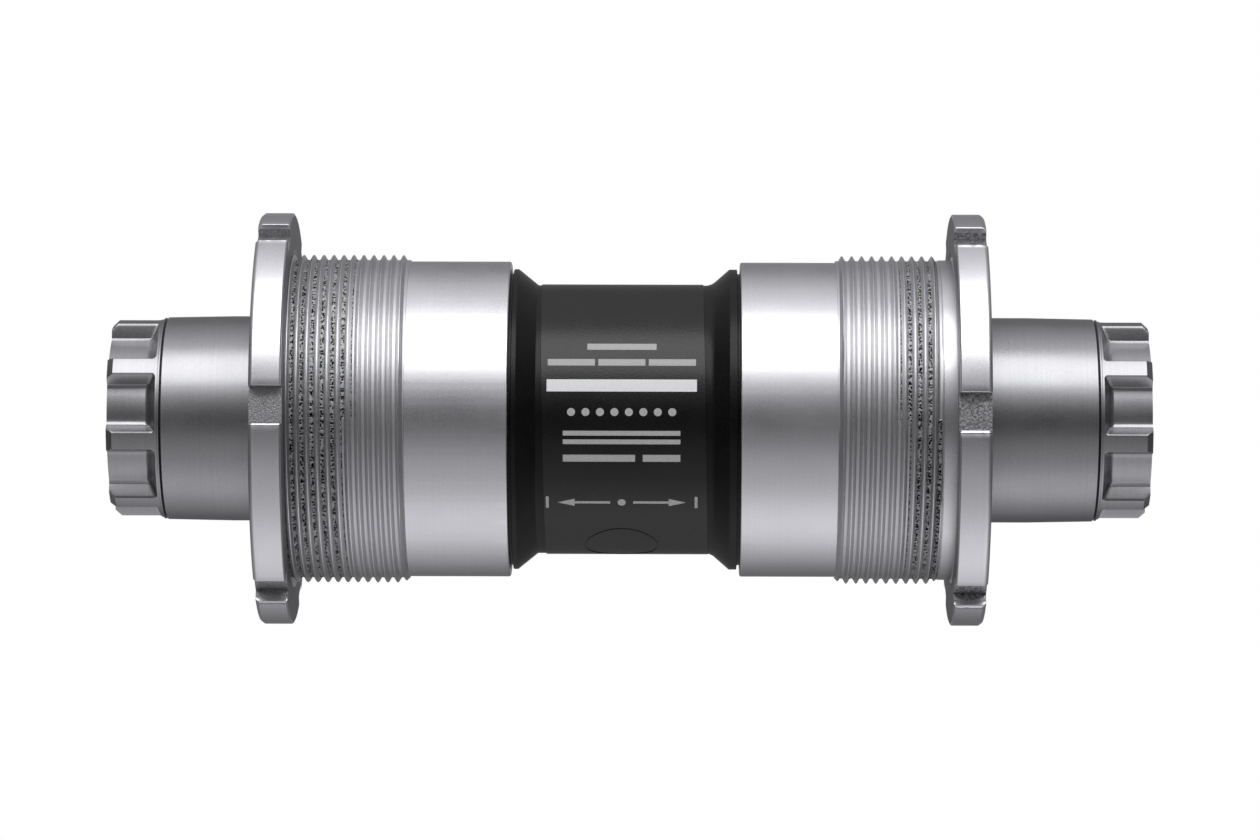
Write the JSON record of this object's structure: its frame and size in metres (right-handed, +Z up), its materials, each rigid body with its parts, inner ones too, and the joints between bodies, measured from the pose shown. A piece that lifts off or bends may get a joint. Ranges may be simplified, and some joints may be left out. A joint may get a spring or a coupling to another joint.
{
  "type": "bottom bracket",
  "caption": "Bicycle bottom bracket: hollow splined steel spindle in two threaded alloy bearing cups, with a notched lockring and flange and a black spacer sleeve.",
  "frame": {"origin": "middle of the spindle, on its axis", "axes": "+X along the spindle towards the drive side, +Z up, +Y away from the viewer"},
  "size_m": [0.1094, 0.0434, 0.0436],
  "materials": {
    "spindle_steel": "fine turned and ground steel",
    "cup_aluminium": "fine satin",
    "lockring_aluminium": "fine satin with milled notches",
    "bearing_steel": "polished",
    "sleeve_plastic": "satin moulded",
    "label_film": "satin film with light grey print",
    "cage_plastic": "moulded nylon",
    "seal_rubber": "matte"
  },
  "bodies": {
    "housing": {"right_cup": "cup_aluminium", "sleeve": "sleeve_plastic", "label": "label_film", "right_seal": "seal_rubber", "right_needle_race": "bearing_steel", "right_ball_race": "bearing_steel", "left_o_ring": "seal_rubber", "right_o_ring": "seal_rubber"},
    "axle": {"spindle": "spindle_steel", "left_cone": "bearing_steel", "right_cone": "bearing_steel"},
    "adjustable_cup": {"left_cup": "cup_aluminium", "left_seal": "seal_rubber", "left_needle_race": "bearing_steel", "left_ball_race": "bearing_steel"},
    "locking_ring": {"lockring": "lockring_aluminium"},
    "left_balls": {"left_ball_cage": "cage_plastic", "left_ball_01": "bearing_steel", "left_ball_02": "bearing_steel", "left_ball_03": "bearing_steel", "left_ball_04": "bearing_steel", "left_ball_05": "bearing_steel", "left_ball_06": "bearing_steel", "left_ball_07": "bearing_steel", "left_ball_08": "bearing_steel", "left_ball_09": "bearing_steel", "left_ball_10": "bearing_steel", "left_ball_11": "bearing_steel", "left_ball_12": "bearing_steel", "left_ball_13": "bearing_steel", "left_ball_14": "bearing_steel"},
    "right_balls": {"right_ball_cage": "cage_plastic", "right_ball_01": "bearing_steel", "right_ball_02": "bearing_steel", "right_ball_03": "bearing_steel", "right_ball_04": "bearing_steel", "right_ball_05": "bearing_steel", "right_ball_06": "bearing_steel", "right_ball_07": "bearing_steel", "right_ball_08": "bearing_steel", "right_ball_09": "bearing_steel", "right_ball_10": "bearing_steel", "right_ball_11": "bearing_steel", "right_ball_12": "bearing_steel", "right_ball_13": "bearing_steel", "right_ball_14": "bearing_steel"},
    "left_needles": {"left_needle_cage": "bearing_steel"},
    "right_needles": {"right_needle_cage": "bearing_steel"}
  },
  "joints": [
    {"name": "spindle_spin", "type": "hinge", "parent": "housing", "child": "axle", "pos_m": [0, 0, 0], "axis": [1, 0, 0], "continuous": true},
    {"name": "left_ball_orbit", "type": "hinge", "parent": "housing", "child": "left_balls", "pos_m": [0, 0, 0], "axis": [1, 0, 0], "continuous": true},
    {"name": "right_ball_orbit", "type": "hinge", "parent": "housing", "child": "right_balls", "pos_m": [0, 0, 0], "axis": [1, 0, 0], "continuous": true},
    {"name": "left_needle_orbit", "type": "hinge", "parent": "housing", "child": "left_needles", "pos_m": [0, 0, 0], "axis": [1, 0, 0], "continuous": true},
    {"name": "right_needle_orbit", "type": "hinge", "parent": "housing", "child": "right_needles", "pos_m": [0, 0, 0], "axis": [1, 0, 0], "continuous": true},
    {"name": "left_cup_turn", "type": "hinge", "parent": "housing", "child": "adjustable_cup", "pos_m": [0, 0, 0], "axis": [-1, 0, 0], "range_deg": [0, 3600]},
    {"name": "lockring_travel", "type": "slide", "parent": "housing", "child": "locking_ring", "axis": [1, 0, 0], "range_m": [0, 0.01058]}
  ],
  "couplings": [
    {"joint": "left_ball_orbit", "follows": "spindle_spin", "ratio": 0.45683},
    {"joint": "right_ball_orbit", "follows": "spindle_spin", "ratio": 0.45683},
    {"joint": "left_needle_orbit", "follows": "spindle_spin", "ratio": 0.43838},
    {"joint": "right_needle_orbit", "follows": "spindle_spin", "ratio": 0.43838},
    {"joint": "lockring_travel", "follows": "left_cup_turn", "m_per_rad": 0.00016844}
  ]
}
